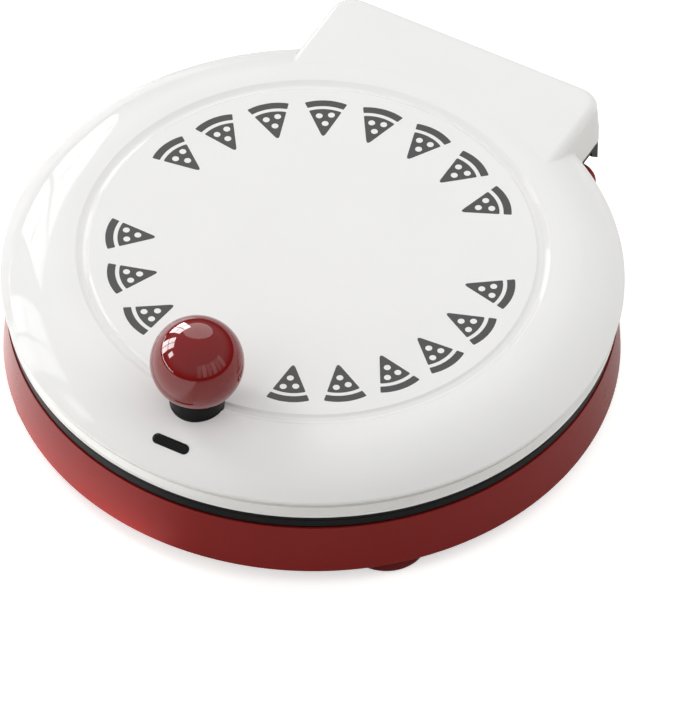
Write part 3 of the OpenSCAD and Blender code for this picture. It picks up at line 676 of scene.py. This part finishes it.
def lid_slopes():
    """Slopes of the rays that meet each row of the shoulder and lip, from the top down."""
    lowest = math.degrees(math.acos((LID_R - SHOULDER_R) / SHOULDER_CURVE_R))
    angles = np.radians(np.linspace(90, lowest, SHOULDER_ROWS))[:-3]
    outline = [
        (SHOULDER_R + SHOULDER_CURVE_R * math.cos(t), SHOULDER_Z + SHOULDER_CURVE_R * math.sin(t))
        for t in angles
    ]
    outline += [(r, z) for z, r in reversed(LIP_OUTLINE[:-1])]
    slopes = [math.atan2(z - LID_HUB_Z, r - LID_HUB_R) for r, z in outline]
    # More rows near the foot, where the walls of the rear block lie further out
    low_slopes = np.radians(np.arange(1, 15, 0.7))
    return np.unique(np.round(np.concatenate([slopes, low_slopes]), 6))[::-1]


def lid_skin():
    """The white shell: its top, its outer skin and a plain inside."""
    turn = shell_angles(LID_CORNER)
    top = ring_rows(lid_top_outline(), turn)
    outer = cast_skin(lid_field, turn, lid_slopes(), LID_HUB_R, LID_HUB_Z)
    foot = outer[-1]
    under_top = LID_TOP - LID_WALL
    inside_bevel = 8
    inner = np.array(
        [
            inset_row(foot, LID_WALL, LID_FOOT),
            inset_row(foot, LID_WALL, LID_FOOT + 9),
            inset_row(foot, LID_WALL + inside_bevel, under_top - inside_bevel),
        ]
    )
    ceiling = ring_rows([(128, under_top - 0.4), (60, under_top)], turn)
    rows = np.concatenate([top, outer, inner, ceiling])
    skin = skin_object("lid_skin", rows[::-1], (under_top, LID_TOP), white_plastic, "lid")
    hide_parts("lid_shell")


def base_skin():
    """The red shell's wall and housing, open above and below. Returns the radius of its lower opening."""
    turn = shell_angles(BASE_CORNER)
    rim = math.atan2(BASE_TOP - BASE_HUB_Z, BASE_TOP_R - BASE_HUB_R)
    slope = np.linspace(rim, LOWEST_BASE_RAY, BASE_ROWS)
    outer = cast_skin(base_field, turn, slope, BASE_HUB_R, BASE_HUB_Z)
    opening_r = np.hypot(outer[-1, 0, 0], outer[-1, 0, 1]) - UNDERSIDE_W
    inner_r = BASE_TOP_R - BASE_WALL
    inside = [
        (opening_r, BASE_FOOT + BASE_WALL),
        (inner_r, BASE_FOOT + BASE_WALL + 2),
        (inner_r, BASE_TOP),
    ]
    underside = [(opening_r, BASE_FOOT), (opening_r, BASE_FOOT + BASE_WALL)]
    rows = np.concatenate([ring_rows(inside, turn), outer, ring_rows(underside, turn)])
    skin = skin_object("base_skin", rows[::-1], (None, None), red_plastic, "base")
    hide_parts("base_shell")
    return opening_r


def base_floor(opening_r):
    """The red shell's floor, with its ring of vent slots and the holes of the pan screws."""
    outlines = [circle(0, PAN_Y, opening_r + FLOOR_LAP, steps=180)]
    for i in range(SLOT_COUNT):
        angle = (i + 0.5) * math.tau / SLOT_COUNT
        x, y = SLOT_RING_R * math.cos(angle), SLOT_RING_R * math.sin(angle)
        outlines.append(placed(pill(SLOT_LEN, SLOT_W), angle, x, PAN_Y + y))
    for side, end in ((1, 1), (1, -1), (-1, 1), (-1, -1)):
        x, y = SCREW_HOLE_RING_R * side / math.sqrt(2), SCREW_HOLE_RING_R * end / math.sqrt(2)
        outlines.append(circle(x, PAN_Y + y, SCREW_HOLE_R, steps=32))
    sheet = plate("base_floor", outlines, BASE_FOOT, BASE_FOOT + BASE_WALL, 0.3, red_plastic, "base")


# ---------------------------------------------------------------- knob, window, feet and print


def knob():
    """The ball, flattened where it sits on its neck, and the neck."""
    seat = -math.sqrt(BALL_R**2 - (NECK_R - 1) ** 2)
    underside = [(2.5, seat + 3, 0), (8, seat, 0)]
    rises = np.radians(np.linspace(-60, 89.6, 90))
    outline = underside + [(BALL_R * math.cos(t), BALL_R * math.sin(t), 0) for t in rises]
    ball = turned("ball_skin", outline, (0, KNOB_Y, BALL_Z), ball_plastic, "lid", sides=160)
    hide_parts("knob_ball")
    neck_top = BALL_Z + seat + 0.4
    neck_outline = [
        (KNOB_SCREW_R, neck_top - 2.4, 0),
        (9, neck_top - 3.2, 0),
        (NECK_R, neck_top, 0.8),
        (NECK_R - 0.25, LID_TOP + 1.2, 0.4),
        (NECK_R, LID_TOP + 0.5, 0.4),
        (NECK_R, LID_TOP - 3, 0),
        (KNOB_SCREW_R, LID_TOP - 3, 0),
    ]
    neck = turned("neck_skin", neck_outline, (0, KNOB_Y, 0), black_plastic, "lid")
    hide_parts("knob_neck")


def indicator():
    """The dark window on the shoulder, ringed by a thin black band of painted shade that stands for the gap
    round it.
    """
    tilt = math.asin((WINDOW_R - SHOULDER_R) / SHOULDER_CURVE_R)
    middle = Vector((0, PAN_Y - WINDOW_R, shoulder_height(WINDOW_R))) * MM
    place = Matrix.Translation(middle) @ Matrix.Rotation(tilt, 4, "X")
    # A thin black band round the lens: painted shade for the gap round the window
    rim = [pill(WINDOW_LEN + 1.2, WINDOW_W + 1.2), pill(WINDOW_LEN - 0.2, WINDOW_W - 0.2)]
    window_gap_shade = plate("window_gap_shade", rim, -1.5, 0.16, 0.1, black_plastic, "lid", place)
    pane = [pill(WINDOW_LEN, WINDOW_W)]
    lens = plate("window_lens", pane, -3.4, 0.3, 0.35, window_plastic, "lid", place)
    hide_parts("indicator_window")


def feet():
    """Four feet, open below for their pads."""
    top = BASE_FOOT + 0.1
    opening_r = PAD_R + 0.3
    outline = [
        (opening_r, 2.5, 0),
        (opening_r, FOOT_LOW, 0.2),
        (FOOT_BOTTOM_R, FOOT_LOW, 1.8),
        (FOOT_TOP_R, top, 0),
        (4, top, 0),
    ]
    places = [(x, y) for x in (-FOOT_OUT, FOOT_OUT) for y in (-FOOT_OUT, FOOT_OUT)]
    for number, (x, y) in enumerate(places):
        name = f"foot_{number + 1}"
        # Their darker red is painted shade
        foot = turned(name, outline, (x, y + PAN_Y, 0), red_plastic_painted_shade, "base", sides=72)
        if number == 0:
            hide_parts("feet")


def slice_outlines():
    """A pizza slice with its tip at the origin: a crust, and below it a wedge with three round toppings."""
    half_angle, crust_r, crust_w, gap = 24, 28.5, 4.4, 2.2
    crust_corner_r, wedge_corner_r, topping_r = 2, 1.6, 1.9
    # The arcs stop short of the rounded corners
    crust_arc, wedge_arc = half_angle - 3, half_angle - 4
    toppings = ((-3.1, 16.6), (3.5, 17.6), (0.5, 11))
    inner_r = crust_r - crust_w
    wedge_r = inner_r - gap
    end = math.radians(half_angle)

    def at(radius, side, rounding):
        return (side * radius * math.sin(end), radius * math.cos(end), rounding)

    crust = [at(crust_r, -1, crust_corner_r)] + arc(crust_r, -crust_arc, crust_arc)
    crust += [at(crust_r, 1, crust_corner_r), at(inner_r, 1, crust_corner_r)]
    crust += arc(inner_r, crust_arc, -crust_arc) + [at(inner_r, -1, crust_corner_r)]
    wedge = [at(wedge_r, -1, wedge_corner_r)] + arc(wedge_r, -wedge_arc, wedge_arc)
    wedge += [at(wedge_r, 1, wedge_corner_r), (0, 0, wedge_corner_r)]
    holes = [circle(x, y, topping_r, steps=20) for x, y in toppings]
    return [rounded_loop(crust), rounded_loop(wedge)] + holes


def lid_print():
    """Pizza slices printed round the lid in three groups, with their crusts outwards."""
    tip_r = LID_R - 84.5
    # Each group's number of slices, and the angles of its first and last, in degrees
    groups = ((8, 165, 49), (6, 12, -68), (3, -122, -157))
    outlines = []
    for count, first, last in groups:
        for angle in np.radians(np.linspace(first, last, count)):
            for outline in slice_outlines():
                moved = [(x, y + tip_r) for x, y in outline]
                outlines.append(placed(moved, angle - math.pi / 2, 0, PAN_Y))
    low, high = LID_TOP - 0.2, LID_TOP + 0.02
    ink = plate("lid_print", outlines, low, high, 0, print_ink, "lid")


# ---------------------------------------------------------------- camera

CAMERA_AZIMUTH = math.radians(28.4)
CAMERA_ELEVATION = math.radians(47.02)
CAMERA_ROLL = math.radians(0.70)
# In mm: how far the camera stands back, and what it aims at
CAMERA_DISTANCE = 6470.8
AIM_HEIGHT = 74.3
AIM_RIGHT = 15.25
AIM_UP = -49.66
CAMERA_LENS = 612.77
CAMERA_SENSOR = 36

VIEW_RIGHT = Vector((math.cos(CAMERA_AZIMUTH), math.sin(CAMERA_AZIMUTH), 0))
VIEW_AHEAD = Vector((-math.sin(CAMERA_AZIMUTH), math.cos(CAMERA_AZIMUTH), 0))


def place_camera():
    """The photograph's view: a long lens, from the front right and above."""
    level = math.cos(CAMERA_ELEVATION)
    east, south = math.sin(CAMERA_AZIMUTH) * level, math.cos(CAMERA_AZIMUTH) * level
    back = Vector((east, -south, math.sin(CAMERA_ELEVATION)))
    up = back.cross(VIEW_RIGHT)
    aim = Vector((0, PAN_Y, AIM_HEIGHT)) + VIEW_RIGHT * AIM_RIGHT + up * AIM_UP
    place = aim + back * CAMERA_DISTANCE
    across = VIEW_RIGHT * math.cos(CAMERA_ROLL) + up * math.sin(CAMERA_ROLL)
    camera_up = up * math.cos(CAMERA_ROLL) - VIEW_RIGHT * math.sin(CAMERA_ROLL)
    facing = Matrix((across, camera_up, back)).transposed().to_4x4()
    camera = bpy.data.objects.new("camera", bpy.data.cameras.new("camera"))
    camera.matrix_world = Matrix.Translation(place * MM) @ facing
    camera.data.lens = CAMERA_LENS
    camera.data.sensor_width = CAMERA_SENSOR
    camera.data.clip_end = 50
    bpy.context.scene.collection.objects.link(camera)
    bpy.context.scene.camera = camera


# ---------------------------------------------------------------- studio, in metres

FLOOR_HALF = 12
LAMP_DISTANCE = 3.0
PANE_BAR = 0.07

# The floor glows to the camera, and in mirrors it shows a painted pool of light that grows between two
# distances to the left
FLOOR_GLOW = 0.55
MIRRORED_GLOW = 0.8
PAINTED_LIGHT_FROM = 0.09
PAINTED_LIGHT_TO = 0.15

# Three pale cards on the floor, close to the left of the base
CARD_AZIMUTHS = (95, 118, 141)
CARD_OUT = 0.181
CARD_HEIGHT = 0.002
CARD_SIZE = (0.018, 0.07)
CARD_RADIANCE = 6

# Azimuth, elevation, width and height in degrees, then radiance. An azimuth is counted from
# straight ahead of the camera to its left
SOFT_LIGHTS = {
    "day_left": (60, 45, 16, 16, 7.6),
    "day_low": (95, 15, 60, 24, 2.3),
    "day_front": (130, 45, 40, 40, 0.7),
    "fill_right": (-90, 40, 40, 40, 1.56),
    "fill_rear": (-40, 40, 40, 40, 1.0),
}
# The same for what the polished pieces mirror, then the number of panes across and up
WINDOWS = {
    "low_left": (85, 6, 80, 3.2, 9, 1),
    "window_behind": (30, 24.5, 25.5, 31, 14, 2),
    "window_left": (69, 22.5, 24, 32, 14, 2),
    "window_far": (96, 26.5, 11, 13, 14, 1),
}
# A blind behind the camera: the azimuths of its slats, their elevation, width and height, and
# their radiances in turn
SLAT_AZIMUTHS = range(-175, -100, 13)
SLAT = (24, 10.5, 30)
SLAT_RADIANCES = (0.45, 0.8)


def floor_material():
    """A floor that is white to the camera, shows a painted pool of light to the left in mirrors, and takes a
    faint shadow.
    """
    material, tree, shader = new_material("floor", (0.8, 0.79, 0.76), 0.9, Specular_IOR_Level=0.0)
    rays = tree.nodes.new("ShaderNodeLightPath")
    is_glossy, is_transmission = rays.outputs["Is Glossy Ray"], rays.outputs["Is Transmission Ray"]
    mirrored = math_node(tree, "MAXIMUM", is_glossy, is_transmission)
    place = tree.nodes.new("ShaderNodeTexCoord")
    leftwards = tree.nodes.new("ShaderNodeVectorMath")
    leftwards.operation = "DOT_PRODUCT"
    leftwards.inputs[1].default_value = -VIEW_RIGHT
    tree.links.new(place.outputs["Object"], leftwards.inputs[0])
    reach = leftwards.outputs["Value"]
    # Painted light: a glow seen only in mirrors, brighter to the left of the base
    painted_light_left = map_range(tree, reach, (PAINTED_LIGHT_FROM, PAINTED_LIGHT_TO), (0, MIRRORED_GLOW), "SMOOTHSTEP")
    in_mirrors = math_node(tree, "MULTIPLY", mirrored, painted_light_left)
    is_camera = rays.outputs["Is Camera Ray"]
    strength = math_node(tree, "MULTIPLY_ADD", is_camera, FLOOR_GLOW, in_mirrors)
    glow = tree.nodes.new("ShaderNodeEmission")
    tree.links.new(strength, glow.inputs["Strength"])
    both = tree.nodes.new("ShaderNodeAddShader")
    tree.links.new(shader.outputs["BSDF"], both.inputs[0])
    tree.links.new(glow.outputs["Emission"], both.inputs[1])
    tree.links.new(both.outputs["Shader"], tree.nodes["Material Output"].inputs["Surface"])
    return material


def soft_world(horizon, zenith):
    """A grey room, dark at its horizon and lightest from 30 degrees up."""
    lightest_from = math.sin(math.radians(30))
    world = bpy.data.worlds.new("world")
    world.use_nodes = True
    tree = world.node_tree
    place = tree.nodes.new("ShaderNodeTexCoord")
    split = tree.nodes.new("ShaderNodeSeparateXYZ")
    tree.links.new(place.outputs["Generated"], split.inputs["Vector"])
    height = split.outputs["Z"]
    strength = map_range(tree, height, (0, lightest_from), (horizon, zenith), "SMOOTHSTEP")
    background = tree.nodes["Background"]
    background.inputs["Color"].default_value = (1, 1, 1, 1)
    tree.links.new(strength, background.inputs["Strength"])
    return world


def area_light(name, place, size, radiance, facing, shape="RECTANGLE", in_mirrors=True, on_surfaces=True):
    """A lamp of a given size, as bright all over as its radiance says."""
    light = bpy.data.lights.new(name, "AREA")
    light.shape = shape
    light.size, light.size_y = size
    area = size[0] * size[1] * (1 if shape == "RECTANGLE" else math.pi / 4)
    light.energy = radiance * math.pi * area
    lamp = bpy.data.objects.new(name, light)
    lamp.matrix_world = Matrix.Translation(place) @ facing.to_matrix().to_4x4()
    lamp.visible_glossy = in_mirrors
    lamp.visible_diffuse = on_surfaces
    bpy.context.scene.collection.objects.link(lamp)
    return lamp


def direction(azimuth, elevation):
    """A unit vector from angles in degrees."""
    turn, rise = math.radians(azimuth), math.radians(elevation)
    level = VIEW_AHEAD * math.cos(turn) - VIEW_RIGHT * math.sin(turn)
    return level * math.cos(rise) + Vector((0, 0, math.sin(rise)))


def seen_width(angle):
    """Width of a lamp that covers an angle in degrees, seen from the object."""
    return 2 * LAMP_DISTANCE * math.tan(math.radians(angle) / 2)


def soft_light(name, azimuth, elevation, width, height, radiance):
    """A broad lamp that lights surfaces and doesn't show in mirrors."""
    away = direction(azimuth, elevation)
    size = (seen_width(width), seen_width(height))
    facing = away.to_track_quat("Z", "Y")
    area_light(name, away * LAMP_DISTANCE, size, radiance, facing, in_mirrors=False)


def window(name, azimuth, elevation, width, height, radiance, panes):
    """Bright panes with bars between them, which show in mirrors only."""
    away = direction(azimuth, elevation)
    facing = away.to_track_quat("Z", "Y")
    across, rise = facing @ Vector((1, 0, 0)), facing @ Vector((0, 1, 0))
    pane_w = seen_width(width) / panes
    pane_h = seen_width(height) / panes
    middle = (panes - 1) / 2
    size = (pane_w - PANE_BAR, pane_h - PANE_BAR)
    for column in range(panes):
        for row in range(panes):
            offset = across * pane_w * (column - middle) + rise * pane_h * (row - middle)
            place = away * LAMP_DISTANCE + offset
            area_light(f"{name}_{column}_{row}", place, size, radiance, facing, on_surfaces=False)


def bounce_card(name, azimuth):
    """A pale card on the floor beside the base: it lights the wall above it from below."""
    away = direction(azimuth, 0)
    down = Vector((0, 0, -1))
    facing = Matrix((away, down.cross(away), down)).transposed().to_quaternion()
    place = away * CARD_OUT + Vector((0, PAN_Y * MM, CARD_HEIGHT))
    card = area_light(name, place, CARD_SIZE, CARD_RADIANCE, facing, in_mirrors=False)
    card.visible_camera = False


def ceiling_lamp():
    """A round lamp overhead, ahead of the camera, which shows in mirrors only."""
    width, radiance = 3.0, 2.1
    away = direction(azimuth=0, elevation=50)
    facing = away.to_track_quat("Z", "Y")
    place = away * LAMP_DISTANCE
    area_light("ceiling", place, (width, width), radiance, facing, "DISK", on_surfaces=False)


def studio_floor():
    """A wide sheet under the object, which belongs to the studio."""
    half = FLOOR_HALF
    mesh = bpy.data.meshes.new("floor")
    corners = [(-half, -half, 0), (half, -half, 0), (half, half, 0), (-half, half, 0)]
    mesh.from_pydata(corners, [], [(0, 1, 2, 3)])
    mesh.materials.append(floor_material())
    sheet = bpy.data.objects.new("floor", mesh)
    bpy.context.scene.collection.objects.link(sheet)


def studio():
    """A white floor in a grey room, with daylight from the left and a fill from the right."""
    scene = bpy.context.scene
    scene.view_settings.view_transform = "Standard"
    studio_floor()
    scene.world = soft_world(horizon=0.06, zenith=0.59)
    for name, values in SOFT_LIGHTS.items():
        soft_light(name, *values)
    for number, azimuth in enumerate(CARD_AZIMUTHS):
        bounce_card(f"bounce_{number}", azimuth)
    for name, values in WINDOWS.items():
        window(name, *values)
    for number, azimuth in enumerate(SLAT_AZIMUTHS):
        window(f"blind_{number}", azimuth, *SLAT, SLAT_RADIANCES[number % 2], 1)
    ceiling_lamp()


place_camera()
dress_nodes()
lid_skin()
floor_opening_r = base_skin()
base_floor(floor_opening_r)
knob()
indicator()
feet()
lid_print()
studio()
